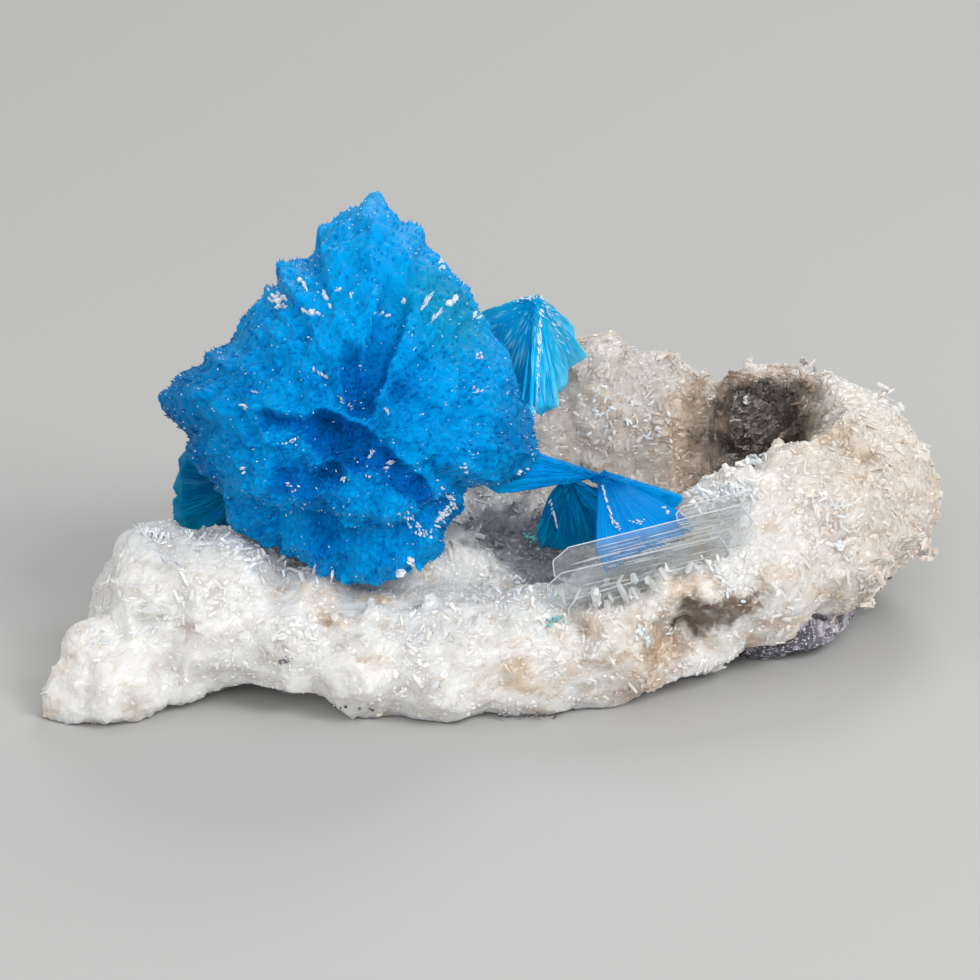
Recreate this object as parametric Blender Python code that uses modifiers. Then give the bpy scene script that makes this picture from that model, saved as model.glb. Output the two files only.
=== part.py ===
"""Cavansite on stilbite: a miniature mineral specimen, built in metres, +Z up.

A cream druse of stilbite crystals grew over a thin remnant of dark basalt. It makes a ridge
that bends round a hollow. On the front ridge sits a rosette of blue cavansite, with smaller
cavansite sprays beside it and one group of large clear stilbite tablets over the nearest spray.
Every place and size below is in millimetres, with X to the right and Y away from the front.
At the end the whole specimen is moved so that its box stands on the origin.
"""

import math
import random

import bmesh
import bpy
from mathutils import Matrix, Vector, noise
from mathutils.bvhtree import BVHTree

MM = 0.001
GAP = 0.3  # between minerals that grew against each other
GOLDEN_ANGLE = math.pi * (3 - math.sqrt(5))

# The druse: lumps strung along the ridge, each with its centre and its three radii.
FRONT_RIDGE = (
    ((-21.3, -11.6, 0.8), (2.1, 2.2, 1.9)),
    ((-19.2, -11.0, 1.5), (2.6, 3.2, 2.7)),
    ((-17.0, -7.2, 3.8), (3.9, 4.4, 4.7)),
    ((-14.0, -7.6, 3.8), (4.2, 4.8, 4.6)),
    ((-9.8, -8.8, 2.8), (4.0, 4.2, 3.7)),
    ((-6.0, -9.4, 2.2), (4.2, 4.6, 3.4)),
    ((-2.4, -9.6, 2.2), (4.4, 4.8, 3.5)),
    ((1.6, -9.2, 2.2), (4.2, 4.4, 3.6)),
    ((5.6, -8.4, 2.6), (4.2, 4.6, 3.7)),
    ((9.6, -6.8, 4.0), (4.2, 4.8, 4.3)),
    ((13.4, -4.0, 5.4), (4.4, 5.2, 4.8)),
)
RIGHT_LOBE = (
    ((16.8, -1.4, 5.6), (5.0, 5.2, 4.9)),
    ((19.4, 2.4, 6.0), (4.8, 5.6, 4.9)),
    ((18.6, 6.4, 6.6), (4.7, 4.8, 4.7)),
)
BACK_RIDGE = (
    ((15.2, 9.4, 6.4), (3.9, 4.0, 5.0)),
    ((12.4, 10.2, 5.0), (3.4, 3.8, 4.4)),
    ((9.2, 10.0, 7.0), (3.4, 4.0, 4.5)),
    ((5.6, 9.8, 7.8), (4.2, 4.4, 5.0)),
    ((2.0, 9.0, 6.4), (4.4, 4.6, 4.8)),
    ((-2.4, 7.4, 4.6), (4.6, 4.6, 4.2)),
    ((-7.0, 5.0, 3.2), (4.6, 4.8, 3.8)),
    ((-11.4, 1.8, 2.4), (4.6, 4.8, 3.6)),
    ((-15.4, -2.6, 2.4), (4.4, 4.8, 3.4)),
)
HOLLOW_FLOOR = (
    ((-6.6, -2.6, 2.8), (8.0, 6.0, 4.2)),
    ((5.0, 2.0, 2.2), (10.0, 7.5, 3.0)),
    ((13.0, 4.0, 2.8), (6.0, 6.0, 3.0)),
)
# Pits pressed into the druse: the centre, the radius, and how far the skin goes in.
PITS = (
    ((10.6, -11.6, 3.6), 3.4, 2.6),
    ((15.0, 4.2, 9.0), 4.6, 1.8),
    ((13.8, -6.8, 8.6), 3.6, 1.5),
    ((8.6, -8.8, 6.8), 3.4, 0.8),
    ((4.6, -12.6, 5.0), 2.0, 0.8),
)
# Places where the druse bridged a gap, so that its underside is open: centre, radii.
UNDERCUTS = (
    ((-11.4, -13.2, -0.9), (4.6, 5.4, 2.5)),
    ((11.6, -10.6, -1.2), (4.4, 3.6, 2.6)),
)
# The right-hand underside broke along a rising face: a point on it, the way it faces, and how
# much of what stood beyond it is gone.
BREAK_POINT = (19.0, 0.0, 1.6)
BREAK_FACING = (0.52, -0.10, -0.85)
BREAK_SHARE = 0.92
DRUSE_LUMP_PITCH = 2.4
DRUSE_LUMP_HEIGHT = 0.55
DRUSE_VOXEL = 0.45
DRUSE_FACETS = 2000

# The stilbite tablets that stand out of the druse.
DRUSE_CRYSTALS = 90
CRYSTAL_LENGTH = (1.5, 2.6)
CRYSTAL_WIDTH = (0.9, 1.5)
CRYSTAL_THICKNESS = (0.45, 0.75)
CRYSTAL_SPACING = 1.25
CRYSTAL_LEAN = 0.7
CRYSTAL_ROOM = 0.95  # least distance from a crystal's axis to another mineral
LOWEST_CRYSTAL = 0.8

# The basalt under the druse.
BASALT = (
    ((-13.0, -4.6, 0.6), (6.0, 4.6, 1.9)),
    ((-4.0, -2.6, 0.6), (8.0, 6.4, 2.2)),
    ((6.0, 0.0, 0.8), (9.0, 8.4, 2.4)),
    ((14.6, -0.2, 1.3), (5.2, 6.2, 2.0)),
    ((18.8, 3.6, 3.0), (3.7, 5.4, 2.2)),
    ((12.0, 8.6, 1.6), (7.6, 5.2, 2.8)),
    ((2.0, 7.6, 1.2), (8.0, 5.4, 2.6)),
)
BASALT_STEP_PITCH = 2.0
BASALT_STEP_HEIGHT = 0.35
BASALT_VOXEL = 0.5
BASALT_FACETS = 450

# The rosette: its centre, and its sheaves. Each sheaf has the way it points as seen from the
# front and a little above (right, up, forward), whose length is its own, and a half angle.
ROSETTE_CENTRE = (-6.5, -3.0, 12.5)
VIEW_TILT = math.radians(22)
ROSETTE_RIM = (
    (0.7, 12.5, -0.3, 20),
    (-2.4, 10.0, -0.8, 19),
    (3.2, 9.6, 0.4, 19),
    (-4.9, 8.9, 0.8, 17),
    (5.9, 7.6, 0.6, 20),
    (-6.8, 6.7, 1.0, 19),
    (-8.9, 4.2, 0.2, 20),
    (-10.9, 1.7, -0.8, 18),
    (-8.8, -2.6, 0.2, 20),
    (-7.4, -6.2, 1.0, 20),
    (-3.4, -8.4, 2.4, 20),
    (0.8, -8.8, 2.6, 22),
    (4.2, -7.4, 2.2, 21),
    (5.6, -4.2, 2.6, 19),
    (9.8, -1.2, 0.2, 20),
    (8.4, 2.4, 0.0, 22),
)
ROSETTE_FACE = (
    (-4.2, 3.6, 5.6, 22),
    (-6.4, 0.2, 4.6, 20),
    (-4.0, -3.0, 5.8, 22),
    (0.4, 5.2, 5.0, 20),
    (3.6, 2.8, 5.6, 22),
    (4.8, -1.2, 5.8, 22),
    (1.0, -4.4, 6.0, 24),
)
ROSETTE_BACK = (
    (-5.2, 5.0, -5.4, 26),
    (4.6, 4.8, -5.2, 26),
    (0.0, 0.0, -8.2, 30),
    (-6.0, -1.6, -5.4, 26),
    (5.8, -1.8, -5.4, 26),
    (0.0, 7.4, -5.0, 24),
    (-1.0, -6.0, -5.0, 26),
)
BLADES_IN_SHEAF = 4
BLADES_BEHIND = 2
BLADE_WIDTH = (0.21, 0.30)  # as a share of the sheaf's length
BLADE_THICKNESS = (0.10, 0.145)
CORE_SHARE = 0.86  # how much of each sheaf is grown solid
CORE_LEAST = 4.9  # the reach between the sheaves
CORE_FACETS = 900
BALL_GROWTH = 1.05  # the rosette's size as a cutter for the sprays beside it

# The smaller cavansite sprays, as leaves: apex, first tip, last tip, blades, thickness.
REAR_SPRAY = (
    ((2.4, 1.0, 18.0), (2.6, 0.2, 11.0), (-1.4, 3.6, 14.6), 4, 1.3),
    ((2.4, 1.0, 18.0), (2.6, 0.4, 11.0), (4.8, 5.0, 13.1), 3, 1.2),
    ((2.4, 1.0, 18.0), (4.6, 5.6, 12.4), (0.0, 6.6, 11.0), 3, 1.6),
)
ARM_SPRAY = (
    ((5.8, -4.0, 10.0), (10.1, -4.6, 8.8), (4.4, -6.8, 6.0), 5, 1.2),
    ((5.6, -4.0, 10.0), (-1.0, -6.0, 10.2), (-0.8, -4.6, 12.0), 3, 1.4),
)
HOLLOW_SPRAY = (
    ((4.1, -1.4, 9.0), (2.0, -1.9, 4.6), (6.3, -1.0, 5.0), 4, 1.3),
)
LEFT_SPRAY = (
    ((-12.8, -0.6, 8.2), (-16.9, 0.0, 9.5), (-15.8, -2.6, 5.2), 4, 1.6),
)

# The clear stilbite: each tablet's root, tip, width and thickness.
TABLETS_FACE = (-0.1, -0.93, 0.4)
CLEAR_TABLETS = (
    ((16.6, -6.2, 9.1), (3.2, -9.6, 7.0), 2.2, 0.7),
    ((15.0, -7.2, 7.8), (2.9, -10.2, 6.0), 2.0, 0.7),
    ((13.2, -8.2, 6.7), (4.0, -10.7, 5.0), 1.9, 0.6),
    ((15.4, -5.9, 10.0), (6.0, -8.4, 8.4), 1.7, 0.6),
    ((6.0, -9.6, 6.2), (5.4, -12.0, 3.6), 1.2, 0.6),
    ((8.4, -9.4, 6.4), (8.2, -12.0, 4.2), 1.3, 0.6),
)


def clear_scene():
    for obj in list(bpy.data.objects):
        bpy.data.objects.remove(obj, do_unlink=True)


def mineral(name, colour, roughness, transmission=0.0):
    """A plain material for one mineral."""
    material = bpy.data.materials.new(name)
    material.use_nodes = True
    shader = material.node_tree.nodes["Principled BSDF"]
    shader.inputs["Base Color"].default_value = (*colour, 1)
    shader.inputs["Roughness"].default_value = roughness
    shader.inputs["Metallic"].default_value = 0.0
    shader.inputs["Transmission Weight"].default_value = transmission
    return material


def new_object(name, bm):
    """An object in the specimen's collection from a finished bmesh, which is freed."""
    mesh = bpy.data.meshes.new(name)
    bm.to_mesh(mesh)
    bm.free()
    obj = bpy.data.objects.new(name, mesh)
    SPECIMEN.objects.link(obj)
    return obj


def settle(obj):
    """Replaces the object's mesh by what its modifiers make of it."""
    bpy.context.view_layer.update()
    graph = bpy.context.evaluated_depsgraph_get()
    made = bpy.data.meshes.new_from_object(obj.evaluated_get(graph))
    obj.modifiers.clear()
    obj.data = made
    return obj


def combine(obj, other, operation, overlapping=False, keep_other=False):
    """A Boolean of two objects, applied at once."""
    boolean = obj.modifiers.new(operation.lower(), "BOOLEAN")
    boolean.operation = operation
    boolean.object = other
    boolean.use_self = overlapping
    settle(obj)
    if not keep_other:
        bpy.data.objects.remove(other, do_unlink=True)
    return obj


def grown(obj, by):
    """A helper copy of the object with its skin moved outwards, for cutting a neighbour."""
    copy = bpy.data.objects.new(obj.name + "_grown", obj.data.copy())
    SPECIMEN.objects.link(copy)
    push = copy.modifiers.new("grow", "DISPLACE")
    push.mid_level = 0
    push.strength = by * MM
    return settle(copy)


def largest_piece(obj):
    """Drops the splinters that a cut leaves beside the main body."""
    bm = bmesh.new()
    bm.from_mesh(obj.data)
    left = set(bm.verts)
    main = set()
    while left:
        piece = set()
        front = [left.pop()]
        while front:
            vertex = front.pop()
            piece.add(vertex)
            near = {edge.other_vert(vertex) for edge in vertex.link_edges} & left
            left -= near
            front.extend(near)
        main = max(main, piece, key=len)
    splinters = [vertex for vertex in bm.verts if vertex not in main]
    bmesh.ops.delete(bm, geom=splinters, context="VERTS")
    bm.to_mesh(obj.data)
    bm.free()
    return obj


def faceted(obj, triangles):
    """Reduces the object to about so many triangles."""
    facets = obj.modifiers.new("facets", "DECIMATE")
    facets.ratio = triangles / sum(len(face.vertices) - 2 for face in obj.data.polygons)
    return settle(obj)


def ellipsoids(name, lumps):
    """An object of overlapping ellipsoids, each with its centre and its three radii."""
    bm = bmesh.new()
    for centre, radii in lumps:
        size = Matrix.Diagonal((*(Vector(radii) * MM), 1))
        matrix = Matrix.Translation(Vector(centre) * MM) @ size
        bmesh.ops.create_icosphere(bm, subdivisions=3, radius=1, matrix=matrix)
    return new_object(name, bm)


def rough_mass(name, lumps, voxel, shape_skin, triangles):
    """Lumps run together into one skin, shaped by a function, then faceted."""
    obj = ellipsoids(name, lumps)
    remesh = obj.modifiers.new("run together", "REMESH")
    remesh.mode = "VOXEL"
    remesh.voxel_size = voxel * MM
    soften = obj.modifiers.new("soften creases", "SMOOTH")
    soften.factor = 0.5
    soften.iterations = 6
    settle(obj)
    normals = [vertex.normal.copy() for vertex in obj.data.vertices]
    for vertex, normal in zip(obj.data.vertices, normals):
        vertex.co = shape_skin(vertex.co / MM, normal) * MM
    return faceted(obj, triangles)


def druse_skin(point, normal):
    """Pits, lumps of crystals and the broken underside of the druse."""
    for centre, radius, depth in PITS:
        share = (point - Vector(centre)).length / radius
        if share < 1:
            point = point - normal * depth * (1 - share * share) ** 2
    lump = noise.fractal(point / DRUSE_LUMP_PITCH, 0.9, 2.1, 4)
    point = point + normal * DRUSE_LUMP_HEIGHT * lump
    facing = Vector(BREAK_FACING).normalized()
    beyond = (point - Vector(BREAK_POINT)).dot(facing)
    if beyond > 0:
        point = point - facing * beyond * BREAK_SHARE
    return point


def basalt_skin(point, normal):
    """Broken basalt: coarse steps with a fine grain."""
    step = noise.fractal(point / BASALT_STEP_PITCH, 0.7, 2.3, 4)
    return point + normal * BASALT_STEP_HEIGHT * step


def cut_flat(obj):
    """Takes away everything under the surface that the specimen rests on."""
    wide, deep = 100 * MM, 20 * MM
    size = Matrix.Diagonal((wide, wide, deep, 1))
    bm = bmesh.new()
    bmesh.ops.create_cube(bm, size=1, matrix=Matrix.Translation((0, 0, -deep / 2)) @ size)
    return combine(obj, new_object("below", bm), "DIFFERENCE")


def bed_of_stone():
    """The druse and the basalt under it, both standing on the same level."""
    lumps = FRONT_RIDGE + RIGHT_LOBE + BACK_RIDGE + HOLLOW_FLOOR
    druse = rough_mass("stilbite_druse", lumps, DRUSE_VOXEL, druse_skin, DRUSE_FACETS)
    basalt = rough_mass("basalt_host", BASALT, BASALT_VOXEL, basalt_skin, BASALT_FACETS)
    for cutter in (ellipsoids("undercuts", UNDERCUTS), grown(basalt, GAP)):
        combine(druse, cutter, "DIFFERENCE")
    return largest_piece(cut_flat(druse)), largest_piece(cut_flat(basalt))


def crystal(bm, root, tip, wide, thick, facing, sides=4, narrow=0.6, point=0.25):
    """One blade from root to tip, its flat side facing the given way.

    It is a tapered prism, narrower at the root, whose end cap is raised to a point.
    """
    along = (tip - root) * MM
    point_length = min(point * along.length, 1.2 * wide * MM)
    shaft = along.length - point_length
    made = bmesh.ops.create_cone(
        bm,
        cap_ends=True,
        segments=sides,
        radius1=0.5 * narrow,
        radius2=0.5,
        depth=shaft,
        matrix=Matrix.Translation((0, 0, shaft / 2)),
    )
    faces = {face for vertex in made["verts"] for face in vertex.link_faces}
    end = max(faces, key=lambda face: face.calc_center_median().z)
    peak = bmesh.ops.poke(bm, faces=[end])["verts"]
    bmesh.ops.translate(bm, verts=peak, vec=(0, 0, point_length))
    z_axis = along.normalized()
    x_axis = facing.cross(z_axis).normalized()
    aim = Matrix((x_axis, z_axis.cross(x_axis), z_axis)).transposed().to_4x4()
    size = Matrix.Diagonal((wide * MM, thick * MM, 1, 1))
    matrix = Matrix.Translation(root * MM) @ aim @ size
    bmesh.ops.transform(bm, matrix=matrix, verts=made["verts"] + peak)


def any_way(chance):
    """A direction at random."""
    return Vector([chance.gauss(0, 1) for _ in range(3)]).normalized()


def seen(right, up, forward):
    """A direction given as it is seen in the front view, which looks down a little."""
    c, s = math.cos(VIEW_TILT), math.sin(VIEW_TILT)
    return Vector((right, up * s - forward * c, up * c + forward * s))


def sheaves():
    """Each sheaf of the rosette as its unit direction, length, half angle and blades."""
    found = []
    for group, count in (
        (ROSETTE_RIM, BLADES_IN_SHEAF),
        (ROSETTE_FACE, BLADES_IN_SHEAF),
        (ROSETTE_BACK, BLADES_BEHIND),
    ):
        for right, up, forward, half in group:
            reach = seen(right, up, forward)
            found.append((reach.normalized(), reach.length, math.radians(half), count))
    return found


def reach_along(direction, bundle):
    """How far the rosette reaches in a direction: the longest sheaf there wins."""
    best = CORE_LEAST
    for axis, length, half, _ in bundle:
        off = axis.angle(direction) / half
        if off < 1.4:
            best = max(best, length * (1 - 0.3 * off * off))
    return best


def rosette():
    """The lobed core, with the blades of each sheaf standing out of it."""
    bundle = sheaves()
    centre = Vector(ROSETTE_CENTRE)
    core = bmesh.new()
    bmesh.ops.create_icosphere(core, subdivisions=5, radius=1)
    for vertex in core.verts:
        direction = vertex.co.normalized()
        vertex.co = (centre + direction * CORE_SHARE * reach_along(direction, bundle)) * MM
    body = faceted(new_object("cavansite_rosette", core), CORE_FACETS)
    chance = random.Random(11)
    blades = bmesh.new()
    for axis, length, half, count in bundle:
        side = axis.orthogonal().normalized()
        up = axis.cross(side)
        for number in range(count):
            lean = 0.85 * half * math.sqrt(number / count)
            around = number * GOLDEN_ANGLE + length
            direction = axis * math.cos(lean) + math.sin(lean) * (
                side * math.cos(around) + up * math.sin(around)
            )
            tip = length * (1 - 0.22 * (lean / half) ** 2) * chance.uniform(0.95, 1.0)
            crystal(
                blades,
                centre + direction * 0.6 * tip,
                centre + direction * tip,
                wide=chance.uniform(*BLADE_WIDTH) * length,
                thick=chance.uniform(*BLADE_THICKNESS) * length,
                facing=any_way(chance),
                point=0.5,
            )
    return combine(body, new_object("blades", blades), "UNION", overlapping=True)


def leaf(bm, apex, first_tip, last_tip, blades, thick, chance):
    """One fan of blades from a shared apex, swept from one tip to the other."""
    first, last = first_tip - apex, last_tip - apex
    facing = first.cross(last).normalized()
    spread = first.angle(last)
    turn = first.normalized().rotation_difference(last.normalized())
    for number in range(blades):
        share = number / (blades - 1)
        length = (first.length * (1 - share) + last.length * share) * chance.uniform(0.9, 1.0)
        direction = turn.copy()
        direction.angle = turn.angle * share
        along = (direction @ first).normalized()
        crystal(
            bm,
            apex + facing * 0.12 * thick * chance.uniform(-1, 1),
            apex + along * length + facing * 0.2 * thick * chance.uniform(-1, 1),
            wide=1.7 * length * spread / blades,
            thick=thick * chance.uniform(0.75, 1.0),
            facing=facing,
            narrow=0.3,
            point=0.12,
        )


def spray(name, leaves, seed):
    """Fans that share an apex, joined in one solid round a slender stem."""
    chance = random.Random(seed)
    blades = bmesh.new()
    for apex, first_tip, last_tip, count, thick in leaves:
        leaf(blades, Vector(apex), Vector(first_tip), Vector(last_tip), count, thick, chance)
    apex, tip, other_tip = (Vector(place) for place in leaves[0][:3])
    away = (other_tip - apex).cross(tip - apex)
    stem = bmesh.new()
    crystal(stem, apex, apex + (tip - apex) * 0.8, 0.9, 0.7, away, narrow=0.8)
    body = new_object(name, stem)
    return combine(body, new_object(name + "_blades", blades), "UNION", overlapping=True)


def cavansite_sprays(ball):
    """The four small sprays, each cut back to leave a gap to the rosette."""
    sprays = [
        spray("cavansite_rear_spray", REAR_SPRAY, 1),
        spray("cavansite_arm_spray", ARM_SPRAY, 2),
        spray("cavansite_hollow_spray", HOLLOW_SPRAY, 3),
        spray("cavansite_left_spray", LEFT_SPRAY, 4),
    ]
    centre = Vector(ROSETTE_CENTRE) * MM
    cutter = grown(ball, 0)
    cutter.data.transform(
        Matrix.Translation(centre) @ Matrix.Scale(BALL_GROWTH, 4) @ Matrix.Translation(-centre)
    )
    for obj in sprays:
        combine(obj, cutter, "DIFFERENCE", keep_other=True)
    bpy.data.objects.remove(cutter, do_unlink=True)
    return sprays


def clear_tablets():
    """Long flat tablets that lie side by side along the ridge, with short ones below them."""
    facing = Vector(TABLETS_FACE)
    blades = bmesh.new()
    for root, tip, wide, thick in CLEAR_TABLETS:
        crystal(blades, Vector(root), Vector(tip), wide, thick, facing, 6, 0.8, 0.1)
    root, tip, wide, thick = CLEAR_TABLETS[0]
    root, tip = Vector(root), Vector(tip)
    seam = bmesh.new()
    crystal(seam, root, root.lerp(tip, 0.5), 0.6 * wide, 0.6 * thick, facing, 6, 0.9)
    body = new_object("stilbite_clear_tablets", seam)
    return combine(body, new_object("tablets", blades), "UNION", overlapping=True)


def skin_tree(obj):
    """The object's skin, for asking how near a point is."""
    bm = bmesh.new()
    bm.from_mesh(obj.data)
    tree = BVHTree.FromBMesh(bm)
    bm.free()
    return tree


def is_clear(points, trees):
    """Whether every point keeps its distance from the other minerals."""
    distances = (tree.find_nearest(point * MM)[3] for point in points for tree in trees)
    return all(distance > CRYSTAL_ROOM * MM for distance in distances)


def stud_with_crystals(druse, neighbours):
    """Stands stilbite tablets out of the druse wherever no other mineral is in the way."""
    chance = random.Random(5)
    trees = [skin_tree(obj) for obj in neighbours]
    faces = [face for face in druse.data.polygons if face.center.z > 1.5 * LOWEST_CRYSTAL * MM]
    weights = [face.area * (1.2 + face.normal.z - 0.6 * face.normal.y) for face in faces]
    blades = bmesh.new()
    stood = []
    while len(stood) < DRUSE_CRYSTALS:
        face = chance.choices(faces, weights)[0]
        place = face.center / MM
        half = 0.5 * chance.uniform(*CRYSTAL_LENGTH)
        out = (face.normal + CRYSTAL_LEAN * any_way(chance)).normalized()
        root, tip = place - out * half, place + out * half
        if tip.z < LOWEST_CRYSTAL:
            continue
        if any((place - other).length < CRYSTAL_SPACING for other in stood):
            continue
        if not is_clear((root, place, place.lerp(tip, 0.5), tip), trees):
            continue
        stood.append(place)
        crystal(
            blades,
            root,
            tip,
            wide=chance.uniform(*CRYSTAL_WIDTH),
            thick=chance.uniform(*CRYSTAL_THICKNESS),
            facing=any_way(chance),
            narrow=0.8,
            point=0.2,
        )
    return combine(druse, new_object("tablets", blades), "UNION", overlapping=True)


def centre_on_base(objects):
    """Moves the specimen so that its box stands on the origin, and returns the move."""
    corners = [Vector(corner) for obj in objects for corner in obj.bound_box]
    low = [min(corner[axis] for corner in corners) for axis in range(3)]
    high = [max(corner[axis] for corner in corners) for axis in range(3)]
    shift = Vector(((low[0] + high[0]) / -2, (low[1] + high[1]) / -2, -low[2]))
    for obj in objects:
        obj.data.transform(Matrix.Translation(shift))
    return shift


SPECIMEN = bpy.data.collections.new("cavansite specimen")


def main():
    clear_scene()
    bpy.context.scene.collection.children.link(SPECIMEN)
    druse, basalt = bed_of_stone()
    ball = rosette()
    sprays = cavansite_sprays(ball)
    tablets = clear_tablets()
    bed = grown(druse, GAP)
    for obj in [ball, tablets, *sprays]:
        largest_piece(combine(obj, bed, "DIFFERENCE", keep_other=True))
    bpy.data.objects.remove(bed, do_unlink=True)
    stud_with_crystals(druse, [basalt, ball, tablets, *sprays])
    blue = mineral("blue_cavansite", (0.0, 0.15, 0.55), 0.25)
    finishes = {
        druse: mineral("cream_stilbite", (0.76, 0.68, 0.58), 0.35),
        basalt: mineral("basalt", (0.09, 0.07, 0.08), 0.8),
        tablets: mineral("clear_stilbite", (0.86, 0.88, 0.90), 0.1, transmission=1.0),
    }
    for obj in SPECIMEN.objects:
        obj.data.materials.clear()
        obj.data.materials.append(finishes.get(obj, blue))
    return centre_on_base(SPECIMEN.objects)


SHIFT = main()
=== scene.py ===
"""Cavansite on stilbite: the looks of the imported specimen, in metres, +Z up.

The sections follow the specimen as it grew: the basalt, the stilbite druse on it, the blue
cavansite, then the clear stilbite and the last small crystals. Places are written in the
specimen's own millimetres, before it was centred on its base.
"""

import math
import random

import bmesh
import bpy
from mathutils import Matrix, Vector, noise
from mathutils.bvhtree import BVHTree
from mathutils.geometry import intersect_line_line_2d, intersect_point_line


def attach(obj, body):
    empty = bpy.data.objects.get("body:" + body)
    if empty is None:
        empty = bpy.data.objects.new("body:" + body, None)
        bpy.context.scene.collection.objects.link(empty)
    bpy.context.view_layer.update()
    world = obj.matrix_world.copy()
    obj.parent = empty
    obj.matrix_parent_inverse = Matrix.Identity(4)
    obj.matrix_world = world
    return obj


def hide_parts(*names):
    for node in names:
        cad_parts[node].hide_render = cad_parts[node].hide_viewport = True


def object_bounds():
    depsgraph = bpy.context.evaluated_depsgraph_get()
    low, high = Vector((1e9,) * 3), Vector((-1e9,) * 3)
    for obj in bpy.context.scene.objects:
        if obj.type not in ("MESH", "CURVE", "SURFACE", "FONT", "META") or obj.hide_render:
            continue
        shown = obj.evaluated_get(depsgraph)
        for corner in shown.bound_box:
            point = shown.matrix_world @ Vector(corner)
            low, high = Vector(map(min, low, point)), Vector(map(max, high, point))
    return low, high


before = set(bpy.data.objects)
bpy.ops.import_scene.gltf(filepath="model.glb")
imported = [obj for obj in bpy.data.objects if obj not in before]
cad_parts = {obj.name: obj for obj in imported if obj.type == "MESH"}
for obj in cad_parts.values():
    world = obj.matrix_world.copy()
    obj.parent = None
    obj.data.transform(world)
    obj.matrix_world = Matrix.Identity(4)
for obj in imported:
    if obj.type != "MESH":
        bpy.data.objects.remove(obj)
cad_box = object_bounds()

# The view
# The photograph looks at the specimen from the front and 22 degrees above it, through a long
# lens, so that near and far crystals keep their true proportions.
MM = 0.001
CENTRED = Vector((-0.568, 0.099, 0.0))  # the move that set the specimen on its base
VIEW_MIDDLE = (0, 0, 7.6)
VIEW_TILT = math.radians(22)
VIEW_DISTANCE = 260 * MM


def place(millimetres):
    """A place on the specimen in metres."""
    return (Vector(millimetres) + CENTRED) * MM


lens = bpy.data.cameras.new("long lens")
lens.lens = 180
lens.sensor_width = 36
lens.clip_start = 0.01
lens.clip_end = 20
camera = bpy.data.objects.new("camera", lens)
camera.location = place(VIEW_MIDDLE) + VIEW_DISTANCE * Vector(
    (0, -math.cos(VIEW_TILT), math.sin(VIEW_TILT))
)
camera.rotation_euler = (math.pi / 2 - VIEW_TILT, 0, 0)
bpy.context.scene.collection.objects.link(camera)
bpy.context.scene.camera = camera
bpy.context.scene.view_settings.view_transform = "Standard"


# The basalt
# A thin remnant of the dark, fine-grained rock on which the druse grew, broken rough, with a salt
# and pepper grain and a lilac grey weathered side. Its sunken places are darkened as painted shade.
BASALT_SKIN = 0.28
ROCK_GRAIN = 0.45
BASALT_DARK = (0.085, 0.080, 0.10)
BASALT_GREY = (0.36, 0.34, 0.41)
BASALT_LILAC = (0.66, 0.61, 0.68)
BASALT_FELDSPAR = (0.75, 0.75, 0.78)


def new_finish(name):
    """A new material: its nodes, its shader, and the place on the specimen."""
    material = bpy.data.materials.new(name)
    material.use_nodes = True
    tree = material.node_tree
    return material, tree, tree.nodes["Principled BSDF"], wire(tree, "TexCoord").outputs["Object"]


def wire(tree, kind, sockets=(), **properties):
    """A node with its properties set, and its sockets given values or linked."""
    node = tree.nodes.new("ShaderNode" + kind)
    for name, value in properties.items():
        setattr(node, name, value)
    fill(tree, node, dict(sockets))
    return node


def fill(tree, node, sockets):
    """Gives a node's sockets their values or links."""
    for name, value in sockets.items():
        if isinstance(value, bpy.types.NodeSocket):
            tree.links.new(value, node.inputs[name])
        else:
            node.inputs[name].default_value = value


def grain(tree, where, size, detail=2.0, roughness=0.5):
    """Noise whose grains are about that many millimetres wide."""
    sockets = {"Vector": where, "Scale": 1 / (size * MM), "Detail": detail, "Roughness": roughness}
    return wire(tree, "TexNoise", sockets).outputs["Fac"]


def between(tree, value, low, high, smooth=True):
    """How far a value is between two others, from 0 to 1."""
    kind = "SMOOTHSTEP" if smooth else "LINEAR"
    sockets = {"Value": value, "From Min": low, "From Max": high}
    return wire(tree, "MapRange", sockets, interpolation_type=kind).outputs["Result"]


def near_spot(tree, where, spot, full, none):
    """1 within a distance of a spot on the specimen, falling to 0 further out, in millimetres."""
    apart = wire(tree, "VectorMath", {0: where, 1: place(spot)}, operation="DISTANCE")
    return between(tree, apart.outputs["Value"], none * MM, full * MM)


def times(tree, first, second):
    """The product of two values."""
    return wire(tree, "Math", {0: first, 1: second}, operation="MULTIPLY").outputs[0]


def tinted(tree, share, colour, other):
    """A mix of two colours."""
    sides = [
        side if isinstance(side, bpy.types.NodeSocket) else (*side, 1) for side in (colour, other)
    ]
    sockets = {0: share, 6: sides[0], 7: sides[1]}
    return wire(tree, "Mix", sockets, data_type="RGBA", clamp_factor=True).outputs[2]


def relief(tree, height, depth):
    """A normal for fine relief of that many millimetres."""
    sockets = {"Height": height, "Distance": depth * MM, "Strength": 1.0}
    return wire(tree, "Bump", sockets).outputs["Normal"]


def piece(name, bm):
    """A new object from a finished bmesh, which is freed."""
    mesh = bpy.data.meshes.new(name)
    bm.to_mesh(mesh)
    bm.free()
    obj = bpy.data.objects.new(name, mesh)
    bpy.context.scene.collection.objects.link(obj)
    return obj


def fine_skinned(name, node, fineness, filling=None):
    """A piece in the form of a CAD solid, with a skin fine enough for crystal relief.

    A filling is a piece that is grown together with it.
    """
    bm = bmesh.new()
    bm.from_mesh(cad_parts[node].data)
    bmesh.ops.remove_doubles(bm, verts=bm.verts, dist=1e-7)
    if filling:
        bm.from_mesh(filling.data)
        bpy.data.objects.remove(filling)
    return remeshed(piece(name, bm), fineness)


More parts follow.
